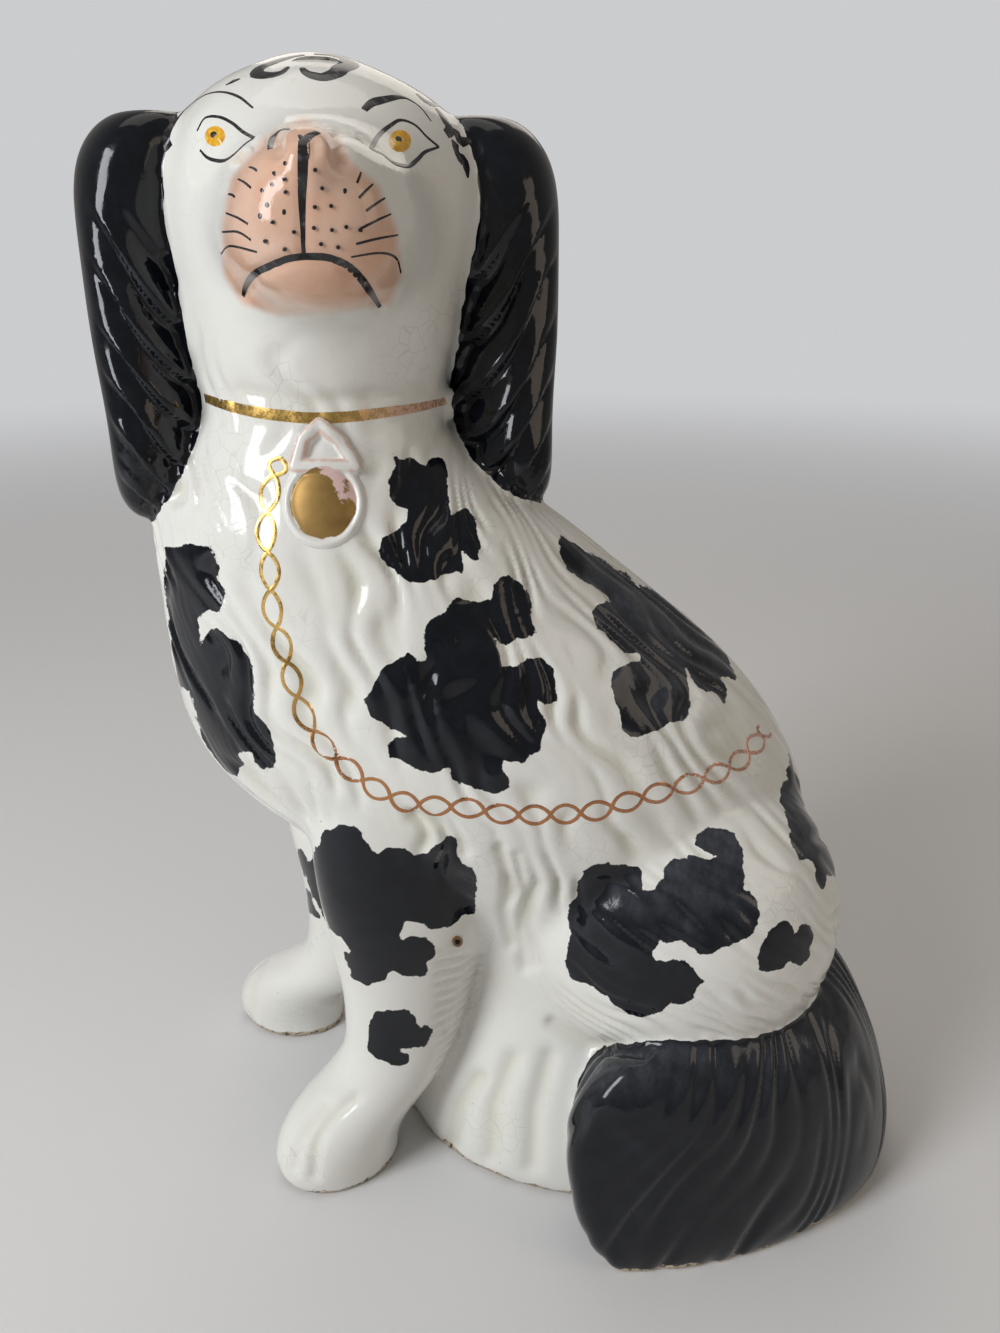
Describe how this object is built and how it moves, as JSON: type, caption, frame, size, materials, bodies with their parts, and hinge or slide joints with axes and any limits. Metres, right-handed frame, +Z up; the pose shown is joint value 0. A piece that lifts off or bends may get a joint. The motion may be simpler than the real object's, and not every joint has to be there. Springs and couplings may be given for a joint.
{
  "type": "staffordshire dog figure",
  "caption": "Seated spaniel mantel figure in glazed earthenware with turned head, free standing forelegs, curled tail and raised padlock",
  "frame": {"origin": "on the table under the base, at the mount named base", "axes": "+Z up, the dog sits facing -X with its head turned to -Y, which is the shown side"},
  "size_m": [0.226, 0.1531, 0.3177],
  "materials": {
    "white_glaze": "creamy white glossy glaze with fine crazing, painted black patches",
    "black_enamel": "glossy blue black enamel over the glaze",
    "gilding": "worn mercury gilding on white glaze",
    "bare_clay": "matt unglazed earthenware"
  },
  "bodies": {
    "root": {"front_pressing": "white_glaze", "back_pressing": "white_glaze", "seam_roll": "bare_clay", "base_slab": "bare_clay", "left_foreleg": "white_glaze", "right_foreleg": "white_glaze", "left_ear": "black_enamel", "right_ear": "black_enamel", "tail": "black_enamel", "padlock": "gilding"}
  },
  "joints": []
}
